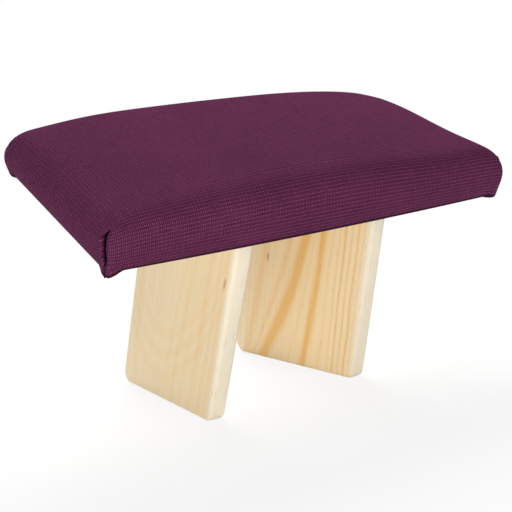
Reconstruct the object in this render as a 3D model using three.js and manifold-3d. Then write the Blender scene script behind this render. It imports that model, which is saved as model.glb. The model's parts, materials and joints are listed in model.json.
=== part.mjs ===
import * as THREE from 'three';
import { mergeVertices } from 'three/addons/utils/BufferGeometryUtils.js';
import Module from 'manifold-3d';

const wasm = await Module();
wasm.setup();

// Folding meditation bench, in millimetres. X runs along the seat, -Y is the front, Z is up.
// The seat frame has its origin in the middle of the board's underside, Z square to the seat.

// Seat and upholstery
const seatLength = 440;
const seatDepth = 214;
const boardThickness = 12;
const fabricThickness = 1.2;
const clothGap = 0.3;
const padGap = 0.6;
const edgeCornerRadius = 8;
const hemWidth = 12;
const hemRoll = 1;
const crownHeight = 15;
const edgeBow = 2;
const crownEndShare = 0.84;
const crownSideShare = 0.12;
const crownCornerShare = 0.04;

// Section of the cover from the bottom edge to the top: outward of the bottom edge, and height
const coverSection = [
  { out: 0, height: 0 },
  { out: 2.6, height: 4.2 },
  { out: 4.8, height: 10 },
  { out: 5.6, height: 17 },
  { out: 4.8, height: 25 },
  { out: 1.6, height: 32.5 },
  { out: -4.2, height: 38 },
  { out: -12, height: 41.2 },
  { out: -24, height: 42.5 },
];
const topRingShares = [0.62, 0.3];
const shoulderRadius = 26;
const skirtHeight = 4.5;

// Legs. They toe in toward the rear and splay outward toward the floor, and their offset is taken
// under the board at the middle of the seat's depth.
const legThickness = 18;
const legDepth = 200;
const legFrontInset = 12;
const legFrontHeight = 200;
const legOuterOffset = 79;
const legToe = THREE.MathUtils.degToRad(4.5);
const legSplay = THREE.MathUtils.degToRad(3);
const footAngle = THREE.MathUtils.degToRad(22.5);
const footCornerRadius = 11;
const edgeRound = 4;
const restGap = 0.3;

// Butt hinges, two to a leg
const hingeLength = 50;
const hingeInset = 57;
const hingeHemGap = 4;
const leafWidth = 19;
const leafThickness = 1.5;
const leafCornerRadius = 2;
const knuckleRadius = 3;
const knuckleGap = 0.4;
const knuckleCount = 5;
const leafRelief = 0.5;
const pinRadius = 1.4;
const pinPlay = 0.25;
const pinHeadRadius = 2.3;
const pinHeadHeight = 0.8;
const pinHeadGap = 0.3;

// Countersunk screws, three to a leaf
const screwSpacing = 17;
const screwStagger = 1.5;
const screwReach = 12.3;
const screwHeadRadius = 2.8;
const screwHeadHeight = 1.3;
const screwHeadRecess = 0.15;
const screwShankRadius = 1.4;
const screwTipLength = 2.5;
const screwTipRadius = 0.3;
const seatScrewLength = 9.5;
const legScrewLength = 13;
const screwPlay = 0.3;
const recessWidth = 0.6;
const recessSpan = 3;
const recessDepth = 0.9;

// Facets
const longSteps = 8;
const shortSteps = 5;
const cornerSteps = 4;
const roundSegments = 20;
const screwSegments = 12;
const footSteps = 5;
const bevelSteps = 4;
const weldTolerance = 1e-5;

const halfTurn = Math.PI;
const quarterTurn = Math.PI / 2;

const clothAllowance = fabricThickness + clothGap;
const legFront = -seatDepth / 2 + legFrontInset;
const legRear = legFront + legDepth;
const legMiddleHeight = legFrontHeight - legFront * Math.tan(footAngle);
const pinOffset = knuckleRadius + restGap;
const pinReach = legOuterOffset + pinOffset;
const seatRise = legMiddleHeight * Math.cos(footAngle);

function standard(color, roughness, metalness) {
  return new THREE.MeshStandardMaterial({ color, roughness, metalness });
}

const looks = {
  fabric: () => standard(0x45183a, 0.92, 0),
  foam: () => standard(0xe6dcc0, 0.95, 0),
  board: () => standard(0xd9b98a, 0.7, 0),
  pine: () => standard(0xe8d3a6, 0.55, 0),
  brass: () => standard(0xc2a25a, 0.35, 0.95),
};

function addPiece(parent, name, geometry, look) {
  const mesh = new THREE.Mesh(geometry, look());
  mesh.name = name;
  parent.add(mesh);
  return mesh;
}

function addGroup(parent, name) {
  const group = new THREE.Group();
  group.name = name;
  parent.add(group);
  return group;
}

function toSolid(geometry) {
  const plain = geometry.clone();
  plain.deleteAttribute('normal');
  plain.deleteAttribute('uv');
  const welded = mergeVertices(plain, weldTolerance);
  const mesh = new wasm.Mesh({
    numProp: 3,
    vertProperties: new Float32Array(welded.attributes.position.array),
    triVerts: new Uint32Array(welded.index.array),
  });
  mesh.merge();
  return new wasm.Manifold(mesh);
}

function toGeometry(solid) {
  const mesh = solid.getMesh();
  const geometry = new THREE.BufferGeometry();
  geometry.setAttribute('position', new THREE.BufferAttribute(mesh.vertProperties, mesh.numProp));
  geometry.setIndex(new THREE.BufferAttribute(mesh.triVerts, 1));
  geometry.computeVertexNormals();
  return geometry;
}

function joined(geometries) {
  return geometries.map(toSolid).reduce((sum, solid) => sum.add(solid));
}

function boxBetween(low, high) {
  const size = high.map((value, axis) => value - low[axis]);
  const middle = high.map((value, axis) => (value + low[axis]) / 2);
  return new THREE.BoxGeometry(...size).translate(...middle);
}

// A body of revolution along Z from radius and height pairs, closed on its axis.
function turned(profile, segments) {
  const points = profile.map(([radius, height]) => new THREE.Vector2(radius, height));
  return new THREE.LatheGeometry(points, segments).rotateX(quarterTurn);
}

// Outline of a rounded rectangle with the same number of points whatever its size.
function roundedOutline(halfX, halfY, radius) {
  const points = [];
  const corners = [
    { x: 1, y: -1, turn: -quarterTurn, steps: longSteps },
    { x: 1, y: 1, turn: 0, steps: shortSteps },
    { x: -1, y: 1, turn: quarterTurn, steps: longSteps },
    { x: -1, y: -1, turn: halfTurn, steps: shortSteps },
  ];
  const arcPoint = (corner, share) => {
    const angle = corner.turn + share * quarterTurn;
    return [
      corner.x * (halfX - radius) + radius * Math.cos(angle),
      corner.y * (halfY - radius) + radius * Math.sin(angle),
    ];
  };
  corners.forEach((corner, index) => {
    const before = corners[(index + corners.length - 1) % corners.length];
    const start = arcPoint(before, 1);
    const end = arcPoint(corner, 0);
    for (let step = 1; step < corner.steps; step += 1) {
      const share = step / corner.steps;
      points.push([start[0] + (end[0] - start[0]) * share, start[1] + (end[1] - start[1]) * share]);
    }
    for (let step = 0; step <= cornerSteps; step += 1) {
      points.push(arcPoint(corner, step / cornerSteps));
    }
  });
  return points;
}

// Rise of the padding above its corner height: none at the corners, all of it in the middle, and
// most of it along the middle of the sides.
function crownAt(x, y) {
  const along = Math.min(1, (2 * x / seatLength) ** 2);
  const across = Math.min(1, (2 * y / seatDepth) ** 2);
  const lost = crownEndShare * along + crownSideShare * across + crownCornerShare * along * across;
  return crownHeight * (1 - lost / (crownEndShare + crownSideShare + crownCornerShare));
}

const sectionTop = coverSection[coverSection.length - 1];

// One ring of the upholstery. The section is moved inward by inset, square to its own line.
function sectionRing(index, inset) {
  const here = coverSection[index];
  const before = coverSection[Math.max(0, index - 1)];
  const after = coverSection[Math.min(coverSection.length - 1, index + 1)];
  const run = Math.hypot(after.out - before.out, after.height - before.height);
  const out = here.out - inset * (after.height - before.height) / run;
  const height = here.height + inset * (after.out - before.out) / run;
  const share = here.height / sectionTop.height;
  const radius = edgeCornerRadius + (shoulderRadius - edgeCornerRadius) * share * share;
  return roundedOutline(seatLength / 2 + out, seatDepth / 2 + out, radius - inset).map(([x, y]) => [
    x,
    y + Math.sign(y) * edgeBow * Math.max(0, 1 - (2 * x / seatLength) ** 2),
    height + crownAt(x, y) * share,
  ]);
}

// The rings over the top shrink toward the middle.
function topRing(share, inset) {
  const edge = sectionRing(coverSection.length - 1, inset);
  return edge.map(([x, y]) => {
    const inner = [x * share, y * share];
    return [...inner, sectionTop.height - inset + crownAt(...inner)];
  });
}

function flatRing(out, height, radius) {
  return roundedOutline(seatLength / 2 + out, seatDepth / 2 + out, radius)
    .map(([x, y]) => [x, y, height]);
}

// A closed body from a chain of rings, with a point at each end.
function skinned(first, rings, last) {
  const count = rings[0].length;
  const positions = [first, ...rings.flat(), last].flat();
  const ringStart = (ring) => 1 + ring * count;
  const end = 1 + rings.length * count;
  const faces = [];
  for (let point = 0; point < count; point += 1) {
    const next = (point + 1) % count;
    faces.push(0, ringStart(0) + next, ringStart(0) + point);
    for (let ring = 1; ring < rings.length; ring += 1) {
      const lower = ringStart(ring - 1);
      const upper = ringStart(ring);
      faces.push(lower + point, lower + next, upper + next);
      faces.push(lower + point, upper + next, upper + point);
    }
    const top = ringStart(rings.length - 1);
    faces.push(top + point, top + next, end);
  }
  const geometry = new THREE.BufferGeometry();
  geometry.setAttribute('position', new THREE.Float32BufferAttribute(positions, 3));
  geometry.setIndex(faces);
  geometry.computeVertexNormals();
  return geometry;
}

// The fabric is one sheet: over the top, down the sides and turned in under the board as a hem.
function coverGeometry() {
  const indices = coverSection.map((_, index) => index);
  const inner = [
    ...[...topRingShares].reverse().map((share) => topRing(share, fabricThickness)),
    ...[...indices].reverse().map((index) => sectionRing(index, fabricThickness)),
    flatRing(-fabricThickness, -clothGap, edgeCornerRadius - fabricThickness),
    flatRing(-hemWidth, -clothGap, edgeCornerRadius),
  ];
  const outer = [
    flatRing(-hemWidth, -clothAllowance, edgeCornerRadius),
    flatRing(-hemRoll, -clothAllowance, edgeCornerRadius),
    ...indices.map((index) => sectionRing(index, 0)),
    ...topRingShares.map((share) => topRing(share, 0)),
  ];
  const summit = sectionTop.height + crownHeight;
  return skinned([0, 0, summit - fabricThickness], [...inner, ...outer], [0, 0, summit]);
}

// The foam lies on the board and laps a little way down its edges.
function padGeometry() {
  const inset = fabricThickness + padGap;
  const lap = clothGap - clothAllowance;
  const floor = boardThickness + clothGap;
  const first = coverSection.findIndex((point) => point.height > skirtHeight);
  const sides = coverSection.map((_, index) => index).slice(first);
  const rings = [
    flatRing(lap, floor, edgeCornerRadius + lap),
    flatRing(lap, coverSection[first].height, edgeCornerRadius + lap),
    ...sides.map((index) => sectionRing(index, inset)),
    ...topRingShares.map((share) => topRing(share, inset)),
  ];
  const summit = sectionTop.height + crownHeight - inset;
  return skinned([0, 0, floor], rings, [0, 0, summit]);
}

// Where the screws of one leaf stand, measured from its pin and its middle.
function screwSpots() {
  return [-1, 0, 1].map((step) => ({
    along: step * screwSpacing,
    reach: screwReach + (step === 0 ? screwStagger : -screwStagger),
  }));
}

// A hinge keeps its inset from the leg's end, and stays on the bare board inside the hem.
const hingeEndLimit = seatDepth / 2 - hemWidth - hingeHemGap - hingeLength / 2;
const hingeStations = [
  { name: 'front', y: Math.max(legFront + hingeInset, -hingeEndLimit) },
  { name: 'rear', y: Math.min(legRear - hingeInset, hingeEndLimit) },
];
const sides = [
  { name: 'left', sign: -1 },
  { name: 'right', sign: 1 },
];

function pilotGeometry(length) {
  const radius = screwShankRadius + screwPlay;
  return turned([[0, -restGap], [radius, -restGap], [radius, length], [0, length]], screwSegments);
}

function boardGeometry() {
  const outline = roundedOutline(
    seatLength / 2 - clothAllowance,
    seatDepth / 2 - clothAllowance,
    edgeCornerRadius - clothAllowance,
  );
  const shape = new THREE.Shape(outline.map(([x, y]) => new THREE.Vector2(x, y)));
  const slab = new THREE.ExtrudeGeometry(shape, { depth: boardThickness, bevelEnabled: false });
  const depth = seatScrewLength - leafThickness + screwPlay;
  const pilots = sides.flatMap((side) => hingeStations.flatMap((station) => screwSpots().map(
    (spot) => pilotGeometry(depth)
      .translate(side.sign * spot.reach, station.y + side.sign * spot.along, 0)
      .rotateZ(side.sign * legToe)
      .translate(side.sign * pinReach, 0, 0),
  )));
  return toGeometry(toSolid(slab).subtract(joined(pilots)));
}

// Points of the arc that rounds a corner between two straight edges.
function roundedCorner(before, corner, after, radius) {
  const back = before.clone().sub(corner).normalize();
  const ahead = after.clone().sub(corner).normalize();
  const half = Math.acos(back.dot(ahead)) / 2;
  const inward = back.clone().add(ahead).normalize();
  const centre = corner.clone().addScaledVector(inward, radius / Math.sin(half));
  const tangent = radius / Math.tan(half);
  const start = corner.clone().addScaledVector(back, tangent).sub(centre);
  const end = corner.clone().addScaledVector(ahead, tangent).sub(centre);
  const points = [];
  for (let step = 0; step <= footSteps; step += 1) {
    const share = step / footSteps;
    const arm = start.clone().lerp(end, share).setLength(radius);
    points.push(arm.add(centre));
  }
  return points;
}

// Leans a leg outward from its pin axis and keeps the cut of its foot in the plane of the floor,
// which the toe of the leg would turn out of it.
function leanedOut(side) {
  const slant = Math.tan(footAngle) * Math.sin(legToe);
  const shrink = 1 - slant * Math.tan(legSplay);
  const lean = Math.tan(legSplay) / shrink;
  const width = 1 / (shrink * Math.cos(legSplay));
  return new THREE.Matrix4().set(
    width, 0, -side.sign * lean, 0,
    0, 1, 0, 0,
    -side.sign * slant * width, 0, 1 + slant * lean, 0,
    0, 0, 0, 1,
  );
}

// A leg seen from the side is square at the top and cut along the floor below. Its edges are
// rounded over, and it is trimmed level just under the hem. Its pin axis runs through the origin.
function legGeometry(side) {
  const top = pinOffset + 2 * edgeRound;
  const slope = Math.tan(footAngle) * Math.cos(legToe);
  const footAt = (y) => new THREE.Vector2(y, pinOffset - legMiddleHeight - slope * y);
  const corners = [
    new THREE.Vector2(legFront, top),
    footAt(legFront),
    footAt(legRear),
    new THREE.Vector2(legRear, top),
  ];
  const shape = new THREE.Shape([
    corners[0],
    ...roundedCorner(corners[0], corners[1], corners[2], footCornerRadius),
    ...roundedCorner(corners[1], corners[2], corners[3], footCornerRadius),
    corners[3],
  ]);
  const slab = new THREE.ExtrudeGeometry(shape, {
    depth: legThickness - 2 * edgeRound,
    bevelSize: edgeRound,
    bevelOffset: -edgeRound,
    bevelThickness: edgeRound,
    bevelSegments: bevelSteps,
  });
  const sideways = new THREE.Matrix4().makeBasis(
    new THREE.Vector3(0, 1, 0),
    new THREE.Vector3(0, 0, 1),
    new THREE.Vector3(1, 0, 0),
  );
  const middleX = -side.sign * (pinOffset + legThickness / 2);
  slab.applyMatrix4(sideways).translate(middleX - legThickness / 2 + edgeRound, 0, 0);
  slab.applyMatrix4(leanedOut(side));
  const breadth = 2 * (pinOffset + legThickness);
  const trim = boxBetween(
    [-breadth, legFront - edgeRound, pinOffset - clothAllowance - restGap],
    [breadth, legRear + edgeRound, top + edgeRound],
  );
  const depth = legScrewLength - leafThickness + screwPlay;
  const pilots = hingeStations.flatMap((station) => screwSpots().map(
    (spot) => pilotGeometry(depth)
      .rotateY(-side.sign * quarterTurn)
      .translate(-side.sign * pinOffset, station.y - side.sign * spot.along, -spot.reach)
      .rotateY(-side.sign * legSplay),
  ));
  return toGeometry(toSolid(slab).subtract(toSolid(trim)).subtract(joined(pilots)));
}

// Start and end along the pin of one knuckle, and the middle of the hinge is at zero.
function knuckleSpan(index) {
  const pitch = (hingeLength + knuckleGap) / knuckleCount;
  const start = index * pitch - hingeLength / 2;
  return [start, start + pitch - knuckleGap];
}

// One leaf, with the pin along Y at the origin, the plate toward +X and its back at the top.
function leafGeometry(knuckles) {
  const back = knuckleRadius;
  const front = knuckleRadius - leafThickness;
  const near = knuckleRadius + leafRelief;
  const halfLength = hingeLength / 2;
  const outline = [
    new THREE.Vector2(near, -halfLength),
    new THREE.Vector2(leafWidth, -halfLength),
    new THREE.Vector2(leafWidth, halfLength),
    new THREE.Vector2(near, halfLength),
  ];
  const plan = new THREE.Shape([
    outline[0],
    ...roundedCorner(outline[0], outline[1], outline[2], leafCornerRadius),
    ...roundedCorner(outline[1], outline[2], outline[3], leafCornerRadius),
    outline[3],
  ]);
  const plate = new THREE.ExtrudeGeometry(plan, { depth: leafThickness, bevelEnabled: false });
  const barrels = knuckles.flatMap((index) => {
    const [start, end] = knuckleSpan(index);
    const barrel = new THREE.CylinderGeometry(
      knuckleRadius,
      knuckleRadius,
      end - start,
      roundSegments,
    );
    return [
      barrel.translate(0, (start + end) / 2, 0),
      boxBetween([0, start, front], [near + leafThickness, end, back]),
    ];
  });
  const bore = new THREE.CylinderGeometry(
    pinRadius + pinPlay,
    pinRadius + pinPlay,
    2 * hingeLength,
    roundSegments,
  );
  const headTop = front + screwHeadRecess;
  const sinks = screwSpots().map((spot) => turned([
    [0, front - leafThickness],
    [screwHeadRadius + screwPlay, front - leafThickness],
    [screwHeadRadius + screwPlay, headTop],
    [screwShankRadius + screwPlay, headTop + screwHeadHeight],
    [screwShankRadius + screwPlay, back + leafThickness],
    [0, back + leafThickness],
  ], screwSegments).translate(spot.reach, spot.along, 0));
  return toGeometry(
    joined([plate.translate(0, 0, front), ...barrels]).subtract(joined([bore, ...sinks])),
  );
}

// A countersunk screw with a crossed recess, its head at the bottom and its point at the top.
function screwGeometry(length) {
  const body = turned([
    [0, 0],
    [screwHeadRadius, 0],
    [screwShankRadius, screwHeadHeight],
    [screwShankRadius, length - screwTipLength],
    [screwTipRadius, length],
    [0, length],
  ], screwSegments);
  const halfWidth = recessWidth / 2;
  const halfSpan = recessSpan / 2;
  const slots = [
    boxBetween([-halfWidth, -halfSpan, -recessDepth], [halfWidth, halfSpan, recessDepth]),
    boxBetween([-halfSpan, -halfWidth, -recessDepth], [halfSpan, halfWidth, recessDepth]),
  ];
  return toGeometry(toSolid(body).subtract(joined(slots)));
}

// A pin with a low head at each end, along Y.
function pinGeometry() {
  const headStart = hingeLength / 2 + pinHeadGap;
  const end = headStart + pinHeadHeight;
  const profile = [
    [0, -end],
    [pinRadius, -end],
    [pinHeadRadius, -headStart - pinHeadHeight / 2],
    [pinHeadRadius, -headStart],
    [pinRadius, -headStart],
    [pinRadius, headStart],
    [pinHeadRadius, headStart],
    [pinHeadRadius, headStart + pinHeadHeight / 2],
    [pinRadius, end],
    [0, end],
  ];
  return turned(profile, roundSegments).rotateX(-quarterTurn);
}

// A leaf and its three screws share one turned group.
function addLeaf(parent, name, knuckles, screwLength) {
  const leaf = addGroup(parent, `${name}_group`);
  addPiece(leaf, name, leafGeometry(knuckles), looks.brass);
  screwSpots().forEach((spot, index) => {
    const screw = addPiece(leaf, `${name}_screw_${index + 1}`, screwGeometry(screwLength), looks.brass);
    const headTop = knuckleRadius - leafThickness + screwHeadRecess;
    screw.position.set(spot.reach, spot.along, headTop);
  });
  return leaf;
}

const group = new THREE.Group();
group.name = 'folding_meditation_bench';
const bench = addGroup(group, 'bench_on_its_feet');
bench.rotation.x = footAngle;
bench.position.z = seatRise;

const seat = addGroup(bench, 'seat');
addPiece(seat, 'seat_board', boardGeometry(), looks.board);
addPiece(seat, 'foam_pad', padGeometry(), looks.foam);
addPiece(seat, 'fabric_cover', coverGeometry(), looks.fabric);

const evenKnuckles = [0, 2, 4];
const oddKnuckles = [1, 3];

for (const side of sides) {
  const swing = addGroup(bench, `${side.name}_leg_swing`);
  swing.position.set(side.sign * pinReach, 0, -pinOffset);
  swing.rotation.z = side.sign * legToe;
  addPiece(swing, `${side.name}_leg`, legGeometry(side), looks.pine);
  for (const station of hingeStations) {
    const name = `${side.name}_${station.name}_hinge`;
    const hinge = addGroup(swing, name);
    hinge.position.y = station.y;
    hinge.rotation.z = side.sign > 0 ? halfTurn : 0;
    addLeaf(hinge, `${name}_seat_leaf`, evenKnuckles, seatScrewLength).rotation.z = halfTurn;
    const legLeaf = addLeaf(hinge, `${name}_leg_leaf`, oddKnuckles, legScrewLength);
    legLeaf.rotation.y = quarterTurn + legSplay;
    addPiece(hinge, `${name}_pin`, pinGeometry(), looks.brass);
  }
}

group.updateMatrixWorld(true);
const bounds = new THREE.Box3().setFromObject(group, true);
bench.position.y = -(bounds.min.y + bounds.max.y) / 2;

export default group;
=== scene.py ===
import json
import math
from types import SimpleNamespace

import bpy
import numpy as np
from mathutils import Matrix, Vector


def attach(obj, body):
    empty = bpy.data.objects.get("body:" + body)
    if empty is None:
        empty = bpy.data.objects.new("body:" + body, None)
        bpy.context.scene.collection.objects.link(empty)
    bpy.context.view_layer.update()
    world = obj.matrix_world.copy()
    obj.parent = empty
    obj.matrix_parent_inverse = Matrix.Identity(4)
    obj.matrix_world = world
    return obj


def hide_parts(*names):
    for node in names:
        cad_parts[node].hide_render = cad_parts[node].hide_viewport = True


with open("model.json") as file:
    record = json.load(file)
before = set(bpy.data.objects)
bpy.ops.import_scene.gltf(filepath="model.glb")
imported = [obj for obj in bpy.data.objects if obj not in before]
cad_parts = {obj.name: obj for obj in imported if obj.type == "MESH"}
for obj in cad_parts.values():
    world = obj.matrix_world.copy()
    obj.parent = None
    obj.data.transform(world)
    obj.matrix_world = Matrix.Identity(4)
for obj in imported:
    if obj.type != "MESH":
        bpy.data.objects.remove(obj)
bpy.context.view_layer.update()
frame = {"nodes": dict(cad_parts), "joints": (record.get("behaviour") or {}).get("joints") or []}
print("frame loaded")

mm = 0.001  # of a metre


def foldOf(legName):
    # the joint that swings a leg
    return next(joint for joint in frame["joints"] if joint["child"] == legName)


# The seat's own frame, in millimetres: origin in the middle of the board's underside, X along the
# seat, Z square to it. The left leg's pin gives its tilt and its place.
pinDrop = 3.3  # of the middle of the hinge pins, under the board
leftFold = foldOf("left_leg")
seatTilt = math.atan2(leftFold["axis"][2], leftFold["axis"][1])
seatTurn = np.array([
    [1, 0, 0],
    [0, math.cos(seatTilt), -math.sin(seatTilt)],
    [0, math.sin(seatTilt), math.cos(seatTilt)],
])
pinPlace = np.array(leftFold["pos_m"], float) / mm
seatOrigin = pinPlace - seatTurn @ np.array([pinPlace[0], 0, -pinDrop])


def toRow(points):
    # millimetres in the seat's frame to metres in the row's frame
    return (np.asarray(points, float) @ seatTurn.T + seatOrigin) * mm


def easeBetween(value, none, full):
    # 0 up to none, 1 from full on and a smooth step between them, whichever of the two is larger
    share = np.clip((value - none) / (full - none), 0, 1)
    return share * share * (3 - 2 * share)


def smoothLine(points, count):
    # a cubic through the points, walked in even steps of their chord length
    points = np.array(points, float)
    run = np.concatenate([[0], np.cumsum(np.linalg.norm(np.diff(points, axis=0), axis=1))])
    slopes = np.gradient(points, run, axis=0)
    walked = np.linspace(0, run[-1], count)
    part = np.clip(np.searchsorted(run, walked, side="right") - 1, 0, len(points) - 2)
    span = (run[part + 1] - run[part])[:, None]
    share = (walked - run[part])[:, None] / span
    square, cube = share ** 2, share ** 3
    return (
        points[part] * (2 * cube - 3 * square + 1)
        + slopes[part] * span * (cube - 2 * square + share)
        + points[part + 1] * (3 * square - 2 * cube)
        + slopes[part + 1] * span * (cube - square)
    )


def meshFrom(name, points, faces, uv=None, smooth=True):
    # faces is a list of index arrays, one row for each face
    mesh = bpy.data.meshes.new(name)
    corners = np.concatenate([part.ravel() for part in faces])
    sizes = np.concatenate([np.full(len(part), part.shape[1]) for part in faces])
    mesh.vertices.add(len(points))
    mesh.vertices.foreach_set("co", np.asarray(points, np.float32).ravel())
    mesh.loops.add(len(corners))
    mesh.loops.foreach_set("vertex_index", corners.astype(np.int32))
    mesh.polygons.add(len(sizes))
    mesh.polygons.foreach_set("loop_start", (np.cumsum(sizes) - sizes).astype(np.int32))
    mesh.polygons.foreach_set("use_smooth", np.full(len(sizes), smooth))
    if uv is not None:
        layer = mesh.uv_layers.new(name="sheet")
        layer.data.foreach_set("uv", uv[corners].astype(np.float32).ravel())
    mesh.update(calc_edges=True)
    mesh.validate()
    made = bpy.data.objects.new(name, mesh)
    bpy.context.scene.collection.objects.link(made)
    return made


def ringFaces(rows, cols):
    # quads of a grid whose last column meets its first
    row, col = np.meshgrid(np.arange(rows - 1), np.arange(cols), indexing="ij")
    after = (col + 1) % cols
    quads = np.stack([
        row * cols + col, row * cols + after, (row + 1) * cols + after, (row + 1) * cols + col,
    ], axis=-1)
    return quads.reshape(-1, 4)


# The upholstered cover, in millimetres in the seat's frame. Where two values say where something
# sets in, it is absent at the first and whole at the second.
cover = {
    "halfLength": 220,  # of the seat at its bottom edge, with the cloth
    "halfDepth": 107,
    "thickness": 1.2,
    "crown": 15,
    # shares of the crown lost toward the ends, toward the long sides and toward both
    "crownLoss": (0.84, 0.12, 0.04),
    "humps": [(216, -103, 55, 5), (-150, 100, 60, 2.8), (215, 100, 38, -3)],  # x, y, reach, lift
    "wave": {"lift": 0.35, "along": (31, 1.3), "across": (23, 0.4), "setsIn": (20, 40)},
    "edgeBow": 2,
    "edgeSag": 1.2,
    "sagSetsIn": (-60, -100),  # across
    "bottomRadius": 8,
    "hemWidth": 12,
    # outward of that edge, and height, from the hem under the board to the top
    "section": [
        (-12, -1.5), (-7, -1.7), (-2.5, -1.6), (-0.4, -0.8), (0.9, 0.9), (2.6, 4.2), (4.8, 10),
        (5.6, 17), (4.8, 25), (1.6, 32.5), (-4.2, 38), (-12, 41.2), (-24, 42.5),
    ],
    "paintedEdgeShadeSetsIn": (3.2, 0.6),  # height of the painted shade along the bottom edge, where the cloth turns under
    "sectionRows": 64,
    "topRows": 26,
    "longSamples": 32,
    "shortSamples": 20,
    "crowding": 1.4,  # of the samples toward the corners
    # signs along and across, start of the arc, side of the pleat's lip, radius at the shoulder,
    # share of the pleat's depth, and how far the ear of folded cloth hangs and stands out
    "corners": [
        {"signs": (1, -1), "start": -90, "lip": 1, "radius": 9, "depth": 0.45, "ear": (2.6, 4.5)},
        {"signs": (1, 1), "start": 0, "lip": -1, "radius": 26, "depth": 0.8, "ear": (3.5, 1)},
        {"signs": (-1, 1), "start": 90, "lip": 1, "radius": 14, "depth": 0.8, "ear": (3.5, 1)},
        {"signs": (-1, -1), "start": 180, "lip": -1, "radius": 24, "depth": 1, "ear": (6, 2)},
    ],
    "pleat": {
        # station, place along the edge, and depth
        "table": [
            (-12, -12, 0), (-9, -9, 0.1), (-5, -4.6, 0.5), (-2.5, -1.8, 0.8), (-1.2, -0.6, 0.8),
            (-0.6, -0.1, 0.2), (-0.3, -0.25, -1.8), (0, -0.9, -6.5), (0.4, -0.6, -8),
            (0.9, 0.1, -7.8), (1.6, 0.9, -6.6), (2.8, 2.4, -3.6), (4.5, 4.3, -1.7),
            (7, 6.9, -0.6), (9.5, 9.5, -0.15), (12, 12, 0),
        ],
        "samples": 44,
        "reach": 12,
        "opens": (37, 28),  # height
        "hemShare": 0.12,  # of its depth, kept down to the hem
        "deepens": (3, 13),  # height
        "shift": -1,
        "lean": -0.22,
        "leanReach": 9,
        "slitMiddle": 0.2,  # station from which the cloth belongs to the other wall
        "slitHalf": 0.4,
        # painted shade in the pleats' slits, and the depths over which it sets in
        "shade": 1.25,
        "paintedSlitShadeSetsIn": (-2, -4.5),  # depth
    },
    "ear": {
        "width": 13,
        "height": 14,
        "power": 1.2,
        "hemLoss": 0.6,  # share of its hang that the hem under the board doesn't follow
        "rowPull": 5,  # of the cloth's rows, down and round the corner
        "pullReach": 22,
    },
}


def crownAt(x, y):
    # the crown less a share of the squares of the places along and across: none at the corners
    along = np.minimum(1, (x / cover["halfLength"]) ** 2)
    across = np.minimum(1, (y / cover["halfDepth"]) ** 2)
    lostAlong, lostAcross, lostBoth = cover["crownLoss"]
    lost = lostAlong * along + lostAcross * across + lostBoth * along * across
    return cover["crown"] * (1 - lost)


def liftAt(x, y):
    # uneven padding: the sum of a few round humps, each falling off with the square of the distance
    total = 0
    for placeX, placeY, reach, lift in cover["humps"]:
        total = total + lift * np.exp(-((x - placeX) ** 2 + (y - placeY) ** 2) / reach ** 2)
    return total


def waveAt(points):
    # shallow waves: the product of a sine along and a sine across, on the upper part alone
    wave = cover["wave"]
    (lengthX, startX), (lengthY, startY) = wave["along"], wave["across"]
    waved = np.sin(points[:, 0] / lengthX + startX) * np.sin(points[:, 1] / lengthY + startY)
    return wave["lift"] * waved * easeBetween(points[:, 2], *wave["setsIn"])


def sectionRows():
    # The section's rows, one for each ring: the places, the share of the whole height, the distance
    # down the cloth from the top, and the shares that the pleat, its depth and the ear have there.
    pleat = cover["pleat"]
    line = smoothLine(cover["section"], cover["sectionRows"])
    out, height = line[:, :1], line[:, 1:]
    steps = np.linalg.norm(np.diff(line, axis=0), axis=1)
    opened = easeBetween(height, *pleat["opens"])
    deepened = pleat["hemShare"] + (1 - pleat["hemShare"]) * easeBetween(height, *pleat["deepens"])
    return SimpleNamespace(
        out=out,
        height=height,
        halfX=cover["halfLength"] + out,
        halfY=cover["halfDepth"] + out,
        rise=np.clip(height / cover["section"][-1][1], 0, 1),
        drop=np.append(np.cumsum(steps[::-1])[::-1], 0)[:, None],
        opened=opened,
        hollow=opened * deepened,
        low=np.clip(1 - height / cover["ear"]["height"], 0, 1) ** 2,
        under=np.clip(-out / cover["hemWidth"], 0, 1) * (height < 0),
    )


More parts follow.
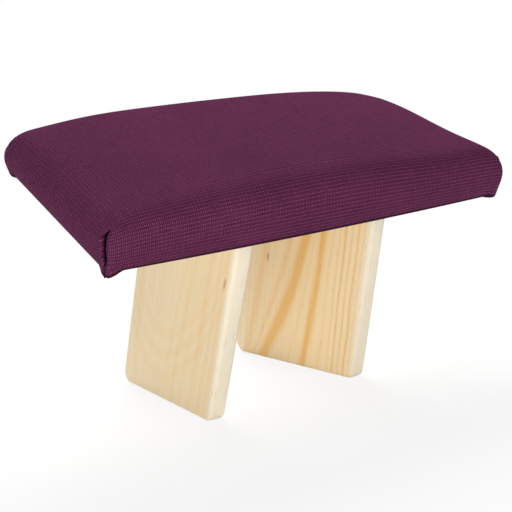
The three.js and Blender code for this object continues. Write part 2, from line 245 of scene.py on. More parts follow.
def walkCorner(corner, rows):
    # Each ring is a rectangle with round corners, and a point on it is found by its distance from
    # the middle of the nearest corner's arc. The samples crowd toward the pleat, which moves them
    # along the ring and gives them their depth.
    pleat = cover["pleat"]
    signX, signY = corner["signs"]
    radius = cover["bottomRadius"] + (corner["radius"] - cover["bottomRadius"]) * rows.rise ** 2
    halfArc = radius * math.pi / 4
    sides = [(rows.halfX, cover["longSamples"]), (rows.halfY, cover["shortSamples"])]
    if signX * signY > 0:
        sides.reverse()
    (halfBefore, countBefore), (halfAfter, countAfter) = sides
    before = (1 - np.arange(countBefore) / countBefore) ** cover["crowding"]
    after = (np.arange(1, countAfter) / countAfter) ** cover["crowding"]
    fold = smoothLine(pleat["table"], pleat["samples"])
    if corner["lip"] > 0:
        fold = fold[::-1] * (-1, -1, 1)
    reach = pleat["reach"]
    plain = np.hstack([
        -(reach + (halfBefore - radius + halfArc - reach) * before),
        np.broadcast_to(fold[:, 0], (len(radius), len(fold))),
        reach + (halfAfter - radius + halfArc - reach) * after,
    ])
    beside = (countBefore, countAfter - 1)
    moved = np.pad(fold[:, 1] - fold[:, 0], beside)
    depth = np.pad(fold[:, 2], beside)
    shift = (pleat["shift"] + pleat["lean"] * np.clip(rows.height, 0, None)) * -corner["lip"]
    shift = shift * np.exp(-(plain / pleat["leanReach"]) ** 2)
    walked = plain + (moved + shift) * rows.opened
    onArc = np.clip(walked, -halfArc, halfArc)
    return SimpleNamespace(
        radius=radius,
        halfArc=halfArc,
        plain=plain,
        walked=walked,
        past=walked - onArc,
        angle=math.radians(corner["start"]) + math.pi / 4 + onArc / radius,
        sunk=depth * np.where(depth < 0, rows.hollow * corner["depth"], rows.opened),
        middleX=signX * (rows.halfX - radius),
        middleY=signY * (rows.halfY - radius),
    )


def placeAt(walk, away, angle):
    # away from the middle of the arc at that angle, and then on past the arc's end along the side
    x = walk.middleX + away * np.cos(angle) - walk.past * np.sin(walk.angle)
    y = walk.middleY + away * np.sin(angle) + walk.past * np.cos(walk.angle)
    return x, y


def cornerShape(corner, rows, walk):
    # the round rectangle with the pleat and the ear, then the crown, the sag of the front edge,
    # the bow of the long edges and the humps
    ear = cover["ear"]
    hang, standOut = corner["ear"]
    eared = np.clip(1 - np.abs(walk.walked) / ear["width"], 0, 1) ** ear["power"] * rows.low
    x, y = placeAt(walk, walk.radius + walk.sunk + standOut * eared * (1 - rows.under), walk.angle)
    middle = np.maximum(0, 1 - (x / cover["halfLength"]) ** 2)
    z = rows.height + crownAt(x, y) * rows.rise
    z = z - hang * eared * (1 - ear["hemLoss"] * rows.under)
    z = z - cover["edgeSag"] * middle * rows.low * easeBetween(y, *cover["sagSetsIn"])
    y = y + np.sign(y) * cover["edgeBow"] * middle
    z = z + liftAt(x, y) * rows.rise
    return np.stack([x, y, z], axis=-1)


def cornerSheet(corner, rows, walk):
    # Where the points were on the flat cloth: the same walk round a wider arc. The cloth on each
    # side of the slit is measured from its own end of the arc, and what lies between is hidden.
    pleat, ear = cover["pleat"], cover["ear"]
    start, quarterTurn = math.radians(corner["start"]), math.pi / 2
    wide = rows.drop + walk.radius - (rows.out - rows.out[-1])
    fromStart = start + np.clip((walk.halfArc + walk.walked) / wide, 0, quarterTurn)
    fromEnd = start + quarterTurn - np.clip((walk.halfArc - walk.walked) / wide, 0, quarterTurn)
    slit = -corner["lip"] * pleat["slitMiddle"]
    other = easeBetween(walk.plain, slit - pleat["slitHalf"], slit + pleat["slitHalf"])
    turned = fromStart + (fromEnd - fromStart) * other
    angle = walk.angle + (turned - walk.angle) * rows.opened
    pull = ear["rowPull"] * np.exp(-(walk.walked / ear["pullReach"]) ** 2) * rows.low
    return np.stack(placeAt(walk, wide - pull, angle), axis=-1)


def buildCover():
    # the corners' rings side by side, then the last ring shrunk toward the middle under the crown
    rows = sectionRows()
    corners = [(corner, rows, walkCorner(corner, rows)) for corner in cover["corners"]]
    rings = np.concatenate([cornerShape(*corner) for corner in corners], axis=1)
    sheet = np.concatenate([cornerSheet(*corner) for corner in corners], axis=1)
    sunk = np.concatenate([walk.sunk for _, _, walk in corners], axis=1)
    shares = (1 - np.arange(1, cover["topRows"]) / cover["topRows"])[:, None]
    topX, topY = rings[-1, :, 0] * shares, rings[-1, :, 1] * shares
    topHeight = cover["section"][-1][1]
    top = np.stack([topX, topY, topHeight + crownAt(topX, topY) + liftAt(topX, topY)], axis=-1)
    rings = np.concatenate([rings, top])
    ringCount, cols = rings.shape[:2]
    pole = ringCount * cols
    rim = np.arange(pole - cols, pole)
    cap = np.stack([rim, np.roll(rim, -1), np.full(cols, pole)], axis=-1)
    points = np.concatenate([rings.reshape(-1, 3), [[0, 0, topHeight + cover["crown"]]]])
    points[:, 2] += waveAt(points)
    flat = np.concatenate([sheet.reshape(-1, 2), top[..., :2].reshape(-1, 2), [[0, 0]]])
    made = meshFrom("seatCover", toRow(points), [ringFaces(ringCount, cols), cap], flat * mm)
    # painted shade: 1 along the bottom edge, where the cloth turns under, and more in the pleats'
    # slits, 0 elsewhere
    shade = cover["pleat"]["shade"] * easeBetween(sunk, *cover["pleat"]["paintedSlitShadeSetsIn"])
    paintedShade = np.zeros(len(points))
    paintedShade[:sunk.size] = np.maximum(easeBetween(rows.height, *cover["paintedEdgeShadeSetsIn"]), shade).ravel()
    paintedShadeLayer = made.data.attributes.new("paintedShade", "FLOAT", "POINT")
    paintedShadeLayer.data.foreach_set("value", paintedShade.astype(np.float32))
    wall = made.modifiers.new("cloth", "SOLIDIFY")
    wall.thickness = cover["thickness"] * mm
    wall.offset = -1
    return made


# The staples that hold the hem, in millimetres
staples = {
    "inset": 8.5,  # from the seat's bottom edge to the line of staples
    "endGaps": (16, 14),  # from the ends of the long lines and of the short ones
    "spacing": 22,
    "width": 10,
    "wire": (1.2, 0.7),
    "legDepth": 5,
    "height": -2.1,  # of the bar's lower face
    "clearOfLegs": (45, 112),
    # how far each is askew, and how far it slips in or out, by a sine of its number
    "askew": (0.12, 2.4, 0),
    "slip": (0.8, 1.7, 1),
}


def stapleLines():
    # middle and direction of each staple, along the four lines of the hem
    halfX = cover["halfLength"] - staples["inset"]
    halfY = cover["halfDepth"] - staples["inset"]
    endX, endY = halfX - staples["endGaps"][0], halfY - staples["endGaps"][1]
    alongX = np.linspace(-endX, endX, int(2 * endX / staples["spacing"]))
    alongY = np.linspace(-endY, endY, int(2 * endY / staples["spacing"]))
    near, far = staples["clearOfLegs"]
    alongX = alongX[(np.abs(alongX) < near) | (np.abs(alongX) > far)]
    onX, onY = np.ones_like(alongX), np.ones_like(alongY)
    return np.concatenate([
        *[np.column_stack([alongX, y * onX, 0 * onX]) for y in (-halfY, halfY)],
        *[np.column_stack([x * onY, alongY, math.pi / 2 * onY]) for x in (-halfX, halfX)],
    ])


def sineOf(number, size, step, start):
    return size * np.sin(number * step + start)


def buildStaples():
    # A staple is the outline of a U, a bar with a leg up at each end, carried across its width
    # and turned and set in its place.
    wide, thick = staples["wire"]
    reach, top = staples["width"] / 2, staples["legDepth"]
    outline = np.array([
        (-reach, 0), (reach, 0), (reach, top), (reach - wide, top), (reach - wide, thick),
        (wide - reach, thick), (wide - reach, top), (-reach, top),
    ])
    middles = stapleLines()
    number = np.arange(len(middles))
    turn = (middles[:, 2] + sineOf(number, *staples["askew"]))[:, None]
    slip = sineOf(number, *staples["slip"])[:, None]
    size = len(outline)
    length, height = np.tile(outline, (2, 1)).T
    across = np.repeat([-wide / 2, wide / 2], size) + slip
    points = np.stack([
        middles[:, :1] + length * np.cos(turn) - across * np.sin(turn),
        middles[:, 1:2] + length * np.sin(turn) + across * np.cos(turn),
        np.broadcast_to(staples["height"] + height, across.shape),
    ], axis=-1)
    rim = np.arange(size)
    after = np.roll(rim, -1)
    walls = np.stack([rim, rim + size, after + size, after], axis=-1)
    caps = np.array([(0, 1, 4, 5), (1, 2, 3, 4), (0, 5, 6, 7)])  # the bar and its two legs
    faces = np.concatenate([walls, caps, caps[:, ::-1] + size])
    faces = (faces[None] + 2 * size * number[:, None, None]).reshape(-1, 4)
    return meshFrom("hemStaples", toRow(points.reshape(-1, 3)), [faces], smooth=False)


hemStaples = buildStaples()
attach(hemStaples, "seat")
seatCover = buildCover()
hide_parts("fabric_cover", "foam_pad")
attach(seatCover, "seat")
print("cover and staples made")


def addNode(tree, kind, **settings):
    made = tree.nodes.new(kind)
    for key, value in settings.items():
        setattr(made, key, value)
    return made


def feed(tree, socket, value):
    # links a socket's value, or sets a plain one
    if isinstance(value, bpy.types.NodeSocket):
        tree.links.new(value, socket)
    else:
        socket.default_value = value


def calc(tree, operation, *values, clamp=False):
    made = addNode(tree, "ShaderNodeMath", operation=operation, use_clamp=clamp)
    for socket, value in zip(made.inputs, values):
        feed(tree, socket, value)
    return made.outputs[0]


def mixColours(tree, share, first, second, blend="MIX"):
    # a Mix node has its colours in its sockets 6 and 7, and gives theirs in its third
    made = addNode(tree, "ShaderNodeMix", data_type="RGBA", blend_type=blend)
    feed(tree, made.inputs[0], share)
    feed(tree, made.inputs[6], first)
    feed(tree, made.inputs[7], second)
    return made.outputs[2]


def mixValues(tree, share, first, second):
    # its plain values are in the sockets 2 and 3
    made = addNode(tree, "ShaderNodeMix", data_type="FLOAT")
    for socket, value in zip(made.inputs[:1] + made.inputs[2:4], (share, first, second)):
        feed(tree, socket, value)
    return made.outputs[0]


def shaded(tree, colour, shade):
    # the colour times that grey
    return mixColours(tree, 1.0, colour, shade, "MULTIPLY")


def spread(tree, value, low, high, toLow=0.0, toHigh=1.0):
    # low..high to toLow..toHigh along a smooth step
    made = addNode(tree, "ShaderNodeMapRange", interpolation_type="SMOOTHSTEP")
    for socket, number in zip(made.inputs, (value, low, high, toLow, toHigh)):
        feed(tree, socket, number)
    return made.outputs[0]


def noiseAt(tree, vector, scale, detail=2.0, roughness=0.5):
    made = addNode(tree, "ShaderNodeTexNoise")
    feed(tree, made.inputs["Vector"], vector)
    made.inputs["Scale"].default_value = scale
    made.inputs["Detail"].default_value = detail
    made.inputs["Roughness"].default_value = roughness
    return made.outputs[0]


def mapped(tree, vector, place=(0, 0, 0), turn=(0, 0, 0), size=(1, 1, 1)):
    made = addNode(tree, "ShaderNodeMapping")
    feed(tree, made.inputs["Vector"], vector)
    made.inputs["Location"].default_value = place
    made.inputs["Rotation"].default_value = turn
    made.inputs["Scale"].default_value = size
    return made.outputs[0]


def streaksAt(tree, vector, size, detail=2.0, roughness=0.5):
    # noise drawn out: size gives how many grains there are to the metre each way
    return noiseAt(tree, mapped(tree, vector, size=size), 1.0, detail, roughness)


def splitVector(tree, vector):
    made = addNode(tree, "ShaderNodeSeparateXYZ")
    feed(tree, made.inputs[0], vector)
    return made.outputs[0], made.outputs[1], made.outputs[2]


def objectPlace(tree):
    return addNode(tree, "ShaderNodeTexCoord").outputs["Object"]


def bumpFrom(tree, height, strength, distance):
    made = addNode(tree, "ShaderNodeBump")
    made.inputs["Strength"].default_value = strength
    made.inputs["Distance"].default_value = distance
    feed(tree, made.inputs["Height"], height)
    return made.outputs[0]


def newGroup(name, inputs, outputs):
    # a vector goes in, and beside it numbers with their usual values
    group = bpy.data.node_groups.new(name, "ShaderNodeTree")
    group.interface.new_socket("Vector", in_out="INPUT", socket_type="NodeSocketVector")
    for socketName, usual in inputs.items():
        socket = group.interface.new_socket(
            socketName, in_out="INPUT", socket_type="NodeSocketFloat",
        )
        socket.default_value = usual
    for socketName in outputs:
        group.interface.new_socket(socketName, in_out="OUTPUT", socket_type="NodeSocketFloat")
    start = group.nodes.new("NodeGroupInput")
    end = group.nodes.new("NodeGroupOutput")
    return group, start.outputs, end.inputs


def placeGroup(tree, group, **values):
    made = addNode(tree, "ShaderNodeGroup", node_tree=group)
    for key, value in values.items():
        feed(tree, made.inputs[key], value)
    return made.outputs


def newMaterial(name):
    material = bpy.data.materials.new(name)
    material.use_nodes = True
    tree = material.node_tree
    return material, tree, tree.nodes["Principled BSDF"]


def dress(piece, material):
    piece.data.materials.clear()
    piece.data.materials.append(material)


# A pair here is the factor and the base of a straight line, unless its note says otherwise.
weave = {
    # the group's inputs for an even weave, with the threads to the metre
    "even": {"Warps": 500.0, "Wefts": 500.0, "Waver": 0.0, "Cross": 1.0, "Rows": 0.0},
    "waverScale": 70.0,
    "overEdges": (-0.7, 0.8),  # of the product of the sines: the weft on top, and the warp on top
    "roundness": 0.8,
    "warpHeight": (0.7, 0.3),
    "weftHeight": (-0.6, 0.9),
    "slubSize": (60, 900),  # grains to the metre, along a thread and across it
}


def plainWeave():
    # Over and under change with the sign of the product of two sines, and a share of the second
    # sine makes every other row stand out. Each thread is round across.
    group, given, wanted = newGroup("plainWeave", weave["even"], ("Height", "Warp", "Slub"))
    waver = noiseAt(group, given["Vector"], weave["waverScale"])
    waver = calc(group, "MULTIPLY", calc(group, "SUBTRACT", waver, 0.5), given["Waver"])
    x, y, _ = splitVector(group, given["Vector"])
    across = calc(group, "ADD", calc(group, "MULTIPLY", x, given["Warps"]), waver)
    along = calc(group, "SUBTRACT", calc(group, "MULTIPLY", y, given["Wefts"]), waver)
    waveX = calc(group, "SINE", calc(group, "MULTIPLY", across, math.pi))
    waveY = calc(group, "SINE", calc(group, "MULTIPLY", along, math.pi))
    over = calc(group, "MULTIPLY_ADD", waveX, given["Cross"], given["Rows"])
    over = spread(group, calc(group, "MULTIPLY", over, waveY), *weave["overEdges"])
    roundX, roundY = [
        calc(group, "POWER", calc(group, "ABSOLUTE", wave), weave["roundness"])
        for wave in (waveX, waveY)
    ]
    warp = calc(group, "MULTIPLY", roundX, calc(group, "MULTIPLY_ADD", over, *weave["warpHeight"]))
    weft = calc(group, "MULTIPLY", roundY, calc(group, "MULTIPLY_ADD", over, *weave["weftHeight"]))
    feed(group, wanted["Height"], calc(group, "MAXIMUM", warp, weft))
    feed(group, wanted["Warp"], over)
    # thick and thin places along the warps and along the wefts
    lengthwise, crosswise = weave["slubSize"]
    warpSlub = streaksAt(group, given["Vector"], (crosswise, lengthwise, 1), detail=1.0)
    weftSlub = streaksAt(group, given["Vector"], (lengthwise, crosswise, 1), detail=1.0)
    feed(group, wanted["Slub"], mixValues(group, over, weftSlub, warpSlub))
    return group


# sizes in grains to the metre, with the fibres along Z
fibre = {
    "fine": (1400, 1400, 28),
    "band": (240, 240, 5),
    "dash": (900, 900, 70),
    "dashEdges": (0.74, 0.8),
}


def woodFibre():
    # long thin noise along Z for the fibres and the bands, and short dashes for the resin canals
    group, given, wanted = newGroup("woodFibre", {"Fineness": 1.0}, ("Fibre", "Band", "Dash"))
    scaled = addNode(group, "ShaderNodeVectorMath", operation="SCALE")
    feed(group, scaled.inputs[0], given["Vector"])
    feed(group, scaled.inputs["Scale"], given["Fineness"])
    place = scaled.outputs[0]
    feed(group, wanted["Fibre"], streaksAt(group, place, fibre["fine"], detail=3.0, roughness=0.6))
    feed(group, wanted["Band"], streaksAt(group, place, fibre["band"]))
    dash = streaksAt(group, place, fibre["dash"], detail=0.0)
    feed(group, wanted["Dash"], spread(group, dash, *fibre["dashEdges"]))
    return group


weaveGroup = plainWeave()
fibreGroup = woodFibre()

# The cover's cloth, a coarse plain weave
cloth = {
    "warps": 570.0,  # threads to the metre
    "wefts": 670.0,
    "waver": 0.35,
    "cross": 0.65,
    "rows": 0.85,
    "warpColour": (0.215, 0.052, 0.131, 1),
    "weftColour": (0.112, 0.023, 0.067, 1),
    "gapColour": (0.020, 0.004, 0.013, 1),
    "gapEdges": (0.1, 0.85),  # heights in the weave: all gap, and all thread
    "slubShade": (0.9, 0.55),
    "patchScale": 14.0,
    "patchShade": (0.3, 0.85),
    # darkening by the painted shade along the bottom edge and in the slits
    "paintedShadeLevels": (-0.7, 1.0),
    "roughness": 0.9,
    "sheen": 0.04,
    "sheenRoughness": 0.45,
    "sheenTint": (0.9, 0.5, 0.75, 1),
    "bump": (0.8, 0.0004),  # strength, and depth in metres
}


def clothMaterial():
    material, tree, shader = newMaterial("aubergineCanvas")
    sheet = addNode(tree, "ShaderNodeUVMap", uv_map="sheet").outputs[0]
    woven = placeGroup(
        tree, weaveGroup, Vector=sheet, Warps=cloth["warps"], Wefts=cloth["wefts"],
        Waver=cloth["waver"], Cross=cloth["cross"], Rows=cloth["rows"],
    )
    thread = mixColours(tree, woven["Warp"], cloth["weftColour"], cloth["warpColour"])
    thread = shaded(tree, thread, calc(tree, "MULTIPLY_ADD", woven["Slub"], *cloth["slubShade"]))
    solid = spread(tree, woven["Height"], *cloth["gapEdges"])
    colour = mixColours(tree, solid, cloth["gapColour"], thread)
    patches = noiseAt(tree, objectPlace(tree), cloth["patchScale"], detail=3.0)
    colour = shaded(tree, colour, calc(tree, "MULTIPLY_ADD", patches, *cloth["patchShade"]))
    # the painted shade along the bottom edge and in the pleats' slits darkens the cloth
    paintedShade = addNode(tree, "ShaderNodeAttribute", attribute_name="paintedShade").outputs["Fac"]
    colour = shaded(tree, colour, calc(tree, "MULTIPLY_ADD", paintedShade, *cloth["paintedShadeLevels"]))
    feed(tree, shader.inputs["Base Color"], colour)
    shader.inputs["Roughness"].default_value = cloth["roughness"]
    shader.inputs["Specular IOR Level"].default_value = 0.0
    shader.inputs["Sheen Weight"].default_value = cloth["sheen"]
    shader.inputs["Sheen Roughness"].default_value = cloth["sheenRoughness"]
    shader.inputs["Sheen Tint"].default_value = cloth["sheenTint"]
    feed(tree, shader.inputs["Normal"], bumpFrom(tree, woven["Height"], *cloth["bump"]))
    return material


dress(seatCover, clothMaterial())
print("cloth made")

# The pine of the legs. Lengths are in millimetres in the leg's own frame, whose Y runs rearward
# along the pin and whose Z runs up the face, from the middle of the pin.
pine = {
    "amber": (0.86, 0.56, 0.20, 1),
    "brown": (0.42, 0.24, 0.09, 1),
    # painted light: the pale colour laid on a strip along the front edge, where it faces the lamps
    "paintedEdgeLight": (0.93, 0.85, 0.68, 1),
    "paintedLightFade": (-94.5, -82),  # along Y, from the full painted light on the front edge to none
    "paintedLightShare": 0.9,
    "splay": 3,  # degrees
    "markLevel": -150,  # of the places given for the marks
    "markFade": 1.6,  # half widths from a mark's middle to where it is gone
    "waver": {"size": (20, 20, 6), "reach": 12, "paintedLightShare": 0.3},  # size in grains to the metre
    "slant": 0.15,  # of the marks, through the board's thickness
    "band": (0.35, 0.75, 0.0, 0.22),  # from where to where in the noise, and the shades there
    "fibreShade": (0.7, 0.65),
    "fleck": {"roundness": 0.35, "edges": (0.8, 3), "share": 0.6},
    "dashShare": 0.25,
    "roughness": 0.42,
    "specular": 0.3,
    "bump": (0.25, 0.0002),  # strength, and depth in metres
}
# Each mark of the grain has its place along Y, lean, bend, half width and strength.
legGrain = {
    "left_leg": {
        "material": "pineLeft",
        "pale": (0.90, 0.76, 0.51, 1),
        "warmth": 0.12,
        "fleck": (-85, -49),
        "marks": [
            (-88, -0.01, 0, 5, 0.3), (-70, -0.02, 0, 3, 0.14), (-52, -0.04, 0, 4, 0.2),
            (-36, -0.05, 0, 3, 0.12), (-18, -0.08, 0.0001, 5, 0.18), (2, -0.14, 0.0003, 4, 0.14),
            (84, 0.05, -0.0003, 7, 0.16),
        ],
        "arch": {
            "middle": 40, "tip": -232, "open": 0.009, "spacing": 26, "strength": 0.17,
            "fadeIn": (-4, 6), "fadeOut": (50, 120),
        },
    },
    "right_leg": {
        "material": "pineRight",
        "pale": (0.93, 0.79, 0.54, 1),
        "warmth": 0.0,
        "fleck": (52.6, -121),
        "marks": [
            (-92, 0.01, 0, 1.5, 0.45), (-84, 0.01, 0, 1.6, 0.7), (-75, 0.015, 0, 1.3, 0.5),
            (-66, 0.02, 0, 2.0, 0.62), (-58, 0.02, 0, 1.2, 0.3), (-46, -0.02, 0.0001, 2.4, 0.22),
            (-26.5, -0.08, 0.0003, 6, 1.0), (-8, -0.14, 0.0004, 2, 0.2),
            (14.5, -0.27, 0.0006, 8, 1.1), (34, -0.24, 0.0005, 4, 0.35),
            (62, -0.12, 0.0002, 7, 0.4),
        ],
        "arch": None,
    },
}


def legPlace(tree, legName):
    # object coordinates brought into the leg's own frame, still in metres
    fold = foldOf(legName)
    side = -1 if legName == "left_leg" else 1
    alongPin = -side * Vector(fold["axis"])
    upright = Vector(seatTurn[:, 2])
    turn = Matrix((alongPin.cross(upright), alongPin, upright))
    turn = Matrix.Rotation(side * math.radians(pine["splay"]), 3, "Y") @ turn
    pinMiddle = turn @ Vector(fold["pos_m"])
    return mapped(tree, objectPlace(tree), place=-pinMiddle, turn=turn.to_euler())


def markAlong(tree, y, height, mark):
    # strength of one grain mark, round its middle line: place + lean h + bend h squared
    place, lean, bend, halfWidth, strength = mark
    curve = calc(tree, "MULTIPLY_ADD", height, bend / mm, lean)
    middle = calc(tree, "MULTIPLY_ADD", height, curve, place * mm)
    away = calc(tree, "ABSOLUTE", calc(tree, "SUBTRACT", y, middle))
    return spread(tree, away, 0.0, halfWidth * pine["markFade"] * mm, strength, 0.0)


def archesOver(tree, y, z, arch):
    # nested arches: the height above a parabola, taken to and fro over their spacing
    across = calc(tree, "SUBTRACT", y, arch["middle"] * mm)
    bowl = calc(tree, "MULTIPLY", calc(tree, "MULTIPLY", across, across), arch["open"] / mm)
    above = calc(tree, "SUBTRACT", calc(tree, "SUBTRACT", z, arch["tip"] * mm), bowl)
    half = arch["spacing"] / 2 * mm
    ring = spread(tree, calc(tree, "PINGPONG", above, half), 0.0, half, 0.0, arch["strength"])
    fadeIn = spread(tree, above, *(height * mm for height in arch["fadeIn"]))
    fadeOut = spread(tree, above, *(height * mm for height in arch["fadeOut"]), 1.0, 0.0)
    return calc(tree, "MULTIPLY", calc(tree, "MULTIPLY", ring, fadeIn), fadeOut)


def fleckAt(tree, y, z, place):
    # a small dark oval, from the distance to its middle with the height drawn in
    fleck = pine["fleck"]
    y = calc(tree, "SUBTRACT", y, place[0] * mm)
    z = calc(tree, "MULTIPLY", calc(tree, "SUBTRACT", z, place[1] * mm), fleck["roundness"])
    squares = calc(tree, "ADD", calc(tree, "MULTIPLY", y, y), calc(tree, "MULTIPLY", z, z))
    near, far = fleck["edges"]
    return spread(tree, calc(tree, "SQRT", squares), near * mm, far * mm, fleck["share"], 0.0)


def pineMaterial(legName):
    grain = legGrain[legName]
    material, tree, shader = newMaterial(grain["material"])
    place = legPlace(tree, legName)
    x, y, z = splitVector(tree, place)
    waver = calc(tree, "SUBTRACT", streaksAt(tree, place, pine["waver"]["size"]), 0.5)
    waver = calc(tree, "MULTIPLY", waver, pine["waver"]["reach"] * mm)
    # painted light: a pale strip along the front edge, with a wavering border
    edge = calc(tree, "ADD", y, calc(tree, "MULTIPLY", waver, pine["waver"]["paintedLightShare"]))
    full, none = pine["paintedLightFade"]
    paintedEdgeLight = spread(tree, edge, full * mm, none * mm, pine["paintedLightShare"], 0.0)
    y = calc(tree, "ADD", calc(tree, "ADD", y, waver), calc(tree, "MULTIPLY", x, pine["slant"]))
    height = calc(tree, "SUBTRACT", z, pine["markLevel"] * mm)
    marked = 0.0
    for mark in grain["marks"]:
        marked = calc(tree, "MAXIMUM", marked, markAlong(tree, y, height, mark))
    if grain["arch"]:
        marked = calc(tree, "ADD", marked, archesOver(tree, y, z, grain["arch"]))
    fibres = placeGroup(tree, fibreGroup, Vector=place)
    band = spread(tree, fibres["Band"], *pine["band"])
    marked = calc(tree, "ADD", marked, calc(tree, "ADD", band, grain["warmth"]), clamp=True)
    fibreShade = calc(tree, "MULTIPLY_ADD", fibres["Fibre"], *pine["fibreShade"])
    marked = calc(tree, "MULTIPLY", marked, fibreShade, clamp=True)
    colour = mixColours(tree, marked, grain["pale"], pine["amber"])
    colour = mixColours(tree, paintedEdgeLight, colour, pine["paintedEdgeLight"])
    dash = calc(tree, "MULTIPLY", fibres["Dash"], pine["dashShare"])
    dark = calc(tree, "MAXIMUM", fleckAt(tree, y, z, grain["fleck"]), dash)
    feed(tree, shader.inputs["Base Color"], mixColours(tree, dark, colour, pine["brown"]))
    shader.inputs["Roughness"].default_value = pine["roughness"]
    shader.inputs["Specular IOR Level"].default_value = pine["specular"]
    feed(tree, shader.inputs["Normal"], bumpFrom(tree, fibres["Fibre"], *pine["bump"]))
    return material


# in metres and degrees
edges = {"weldGap": 0.00001, "legSplit": 35, "hingeSplit": 30}


def softenEdges(piece, splitDegrees):
    # joins the loose triangles and shades them smooth up to that angle
    piece.data.polygons.foreach_set("use_smooth", np.full(len(piece.data.polygons), True))
    weld = piece.modifiers.new("weld", "WELD")
    weld.merge_threshold = edges["weldGap"]
    split = piece.modifiers.new("split", "EDGE_SPLIT")
    split.split_angle = math.radians(splitDegrees)


for legName in legGrain:
    leg = frame["nodes"][legName]
    dress(leg, pineMaterial(legName))
    softenEdges(leg, edges["legSplit"])
print("legs made")

# The seat board's plywood
board = {
    "pale": (0.72, 0.55, 0.34, 1),
    "dark": (0.55, 0.37, 0.19, 1),
    "turn": (0, math.pi / 2, 0),  # brings the fibres along the seat
    "fineness": 0.8,
    "ringSize": (30, 30, 3),
    "rings": 9.0,
    "ringEdges": (0.2, 1.0),
    "ringShare": 0.5,
    "fibreShare": 0.4,
    "roughness": 0.62,
    "bump": (0.3, 0.0002),  # strength, and depth in metres
}


def boardMaterial():
    material, tree, shader = newMaterial("birchPlywood")
    place = mapped(tree, objectPlace(tree), turn=board["turn"])
    fibres = placeGroup(tree, fibreGroup, Vector=place, Fineness=board["fineness"])
    waver = streaksAt(tree, place, board["ringSize"], detail=3.0)
    rings = calc(tree, "FRACT", calc(tree, "MULTIPLY", waver, board["rings"]))
    rings = calc(tree, "MULTIPLY", spread(tree, rings, *board["ringEdges"]), board["ringShare"])
    fine = calc(tree, "MULTIPLY", fibres["Fibre"], board["fibreShare"])
    shade = calc(tree, "ADD", rings, fine, clamp=True)
    feed(tree, shader.inputs["Base Color"], mixColours(tree, shade, board["pale"], board["dark"]))
    shader.inputs["Roughness"].default_value = board["roughness"]
    feed(tree, shader.inputs["Normal"], bumpFrom(tree, fibres["Fibre"], *board["bump"]))
    return material


dress(frame["nodes"]["seat_board"], boardMaterial())

# The plated hinges and their screws
brass = {
    "bright": (0.72, 0.52, 0.24, 1),
    "dull": (0.42, 0.28, 0.12, 1),
    "tarnishScale": 160.0,
    "tarnishEdges": (0.4, 0.75),
    "roughness": (0.3, 0.2),
    "brushSize": (300, 4000, 4000),
    "bump": (0.15, 0.0001),  # strength, and depth in metres
}


def brassMaterial():
    material, tree, shader = newMaterial("platedBrass")
    place = objectPlace(tree)
    tarnish = noiseAt(tree, place, brass["tarnishScale"], detail=4.0, roughness=0.6)
    dulled = spread(tree, tarnish, *brass["tarnishEdges"])
    colour = mixColours(tree, dulled, brass["bright"], brass["dull"])
    feed(tree, shader.inputs["Base Color"], colour)
    shader.inputs["Metallic"].default_value = 1.0
    rough = calc(tree, "MULTIPLY_ADD", tarnish, *brass["roughness"])
    feed(tree, shader.inputs["Roughness"], rough)
    brushed = streaksAt(tree, place, brass["brushSize"])
    feed(tree, shader.inputs["Normal"], bumpFrom(tree, brushed, *brass["bump"]))
    return material


# The wire of the staples
wire = {
    "bright": (0.62, 0.63, 0.64, 1),
    "dull": (0.42, 0.43, 0.45, 1),
    "dullScale": 400.0,
    "roughness": 0.38,
}


def wireMaterial():
    material, tree, shader = newMaterial("galvanisedWire")
    dulled = noiseAt(tree, objectPlace(tree), wire["dullScale"], detail=3.0)
    feed(tree, shader.inputs["Base Color"], mixColours(tree, dulled, wire["bright"], wire["dull"]))
    shader.inputs["Metallic"].default_value = 1.0
    shader.inputs["Roughness"].default_value = wire["roughness"]
    return material


dress(hemStaples, wireMaterial())
brassLook = brassMaterial()
for name, piece in frame["nodes"].items():
    if "hinge" in name:
        dress(piece, brassLook)
        softenEdges(piece, edges["hingeSplit"])
print("board, hinges and staples dressed")

# The white studio: floor, world, lamps and camera, in metres, watts and degrees
studio = {
    "floorSize": 14.0,
    "floorColour": (0.9, 0.9, 0.9, 1),
    "floorRoughness": 0.9,
    "floorGlow": 0.85,  # near the object, as the camera sees it
    "glowFade": (0.7, 2.2),
    "ambient": 0.2,
    "lamps": {
        "behind": {
            "place": (0.5, 1.0, 1.65), "aim": (0, 0, 0.2), "size": (1.1, 1.0), "power": 44.0,
        },
        "frontLow": {
            "place": (-0.85, -1.0, 0.12), "aim": (0, 0, 0.22), "size": (1.2, 0.2), "power": 7.0,
        },
        "leftLow": {
            "place": (-1.5, -0.1, 0.12), "aim": (0, 0, 0.15), "size": (1.2, 0.2), "power": 2.0,
        },
        "frontHigh": {
            "place": (-0.1, -1.3, 0.75), "aim": (0, 0, 0.25), "size": (0.9, 0.6), "power": 3.4,
        },
    },
    "camera": {
        "place": (-0.54012, -0.87741, 0.30942),
        "turn": (81.9951, 6.261, -32.6518),
        "lens": 70.358,
        "sensor": 36,
        "shift": (0.01564, -0.04102),
        "clip": (0.01, 50),
    },
}


def seenRays(tree):
    # 1 on rays from the camera, straight or by way of a gloss or a clear piece, and 0 on the rest
    rays = addNode(tree, "ShaderNodeLightPath").outputs
    seen = calc(tree, "MAXIMUM", rays["Is Camera Ray"], rays["Is Glossy Ray"])
    return calc(tree, "MAXIMUM", seen, rays["Is Transmission Ray"])


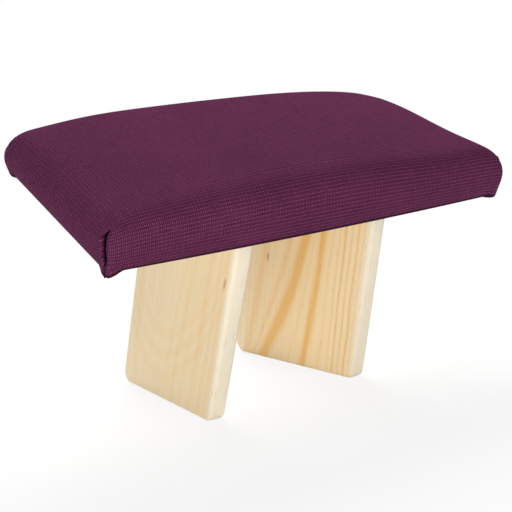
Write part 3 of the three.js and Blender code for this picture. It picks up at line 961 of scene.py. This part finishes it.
def floorMaterial():
    # to the camera the floor glows white, less near the object, so that its shadow stays
    material, tree, shader = newMaterial("paleFloor")
    shader.inputs["Base Color"].default_value = studio["floorColour"]
    shader.inputs["Roughness"].default_value = studio["floorRoughness"]
    shader.inputs["Specular IOR Level"].default_value = 0.0
    away = addNode(tree, "ShaderNodeVectorMath", operation="LENGTH")
    feed(tree, away.inputs[0], objectPlace(tree))
    near, far = studio["glowFade"]
    glowing = spread(tree, away.outputs["Value"], near, far, studio["floorGlow"], 1.0)
    glow = addNode(tree, "ShaderNodeEmission")
    mixed = addNode(tree, "ShaderNodeMixShader")
    feed(tree, mixed.inputs[0], calc(tree, "MULTIPLY", seenRays(tree), glowing))
    feed(tree, mixed.inputs[1], shader.outputs[0])
    feed(tree, mixed.inputs[2], glow.outputs[0])
    feed(tree, tree.nodes["Material Output"].inputs["Surface"], mixed.outputs[0])
    return material


def buildFloor():
    half = studio["floorSize"] / 2
    points = [(-half, -half, 0), (half, -half, 0), (half, half, 0), (-half, half, 0)]
    made = meshFrom("floor", points, [np.array([[0, 1, 2, 3]])], smooth=False)
    dress(made, floorMaterial())
    return made


def buildWorld():
    # white to the camera, and a weak white light to the object
    world = bpy.data.worlds.new("studio")
    bpy.context.scene.world = world
    world.use_nodes = True
    tree = world.node_tree
    background = tree.nodes["Background"]
    background.inputs["Color"].default_value = (1, 1, 1, 1)
    strength = spread(tree, seenRays(tree), 0.0, 1.0, studio["ambient"], 1.0)
    feed(tree, background.inputs["Strength"], strength)


def hangLamp(name, lamp):
    light = bpy.data.lights.new(name, "AREA")
    light.shape = "RECTANGLE"
    light.size, light.size_y = lamp["size"]
    light.energy = lamp["power"]
    holder = bpy.data.objects.new(name, light)
    bpy.context.scene.collection.objects.link(holder)
    holder.location = lamp["place"]
    toward = Vector(lamp["aim"]) - Vector(lamp["place"])
    holder.rotation_mode = "QUATERNION"
    holder.rotation_quaternion = toward.to_track_quat("-Z", "Y")


def placeCamera(plan):
    lens = bpy.data.cameras.new("camera")
    lens.sensor_width = plan["sensor"]
    lens.lens = plan["lens"]
    lens.shift_x, lens.shift_y = plan["shift"]
    lens.clip_start, lens.clip_end = plan["clip"]
    camera = bpy.data.objects.new("camera", lens)
    bpy.context.scene.collection.objects.link(camera)
    camera.location = plan["place"]
    camera.rotation_euler = [math.radians(angle) for angle in plan["turn"]]
    bpy.context.scene.camera = camera


floor = buildFloor()
buildWorld()
for name, lamp in studio["lamps"].items():
    hangLamp(name, lamp)
placeCamera(studio["camera"])
bpy.context.scene.view_settings.view_transform = "Standard"
print("studio made")
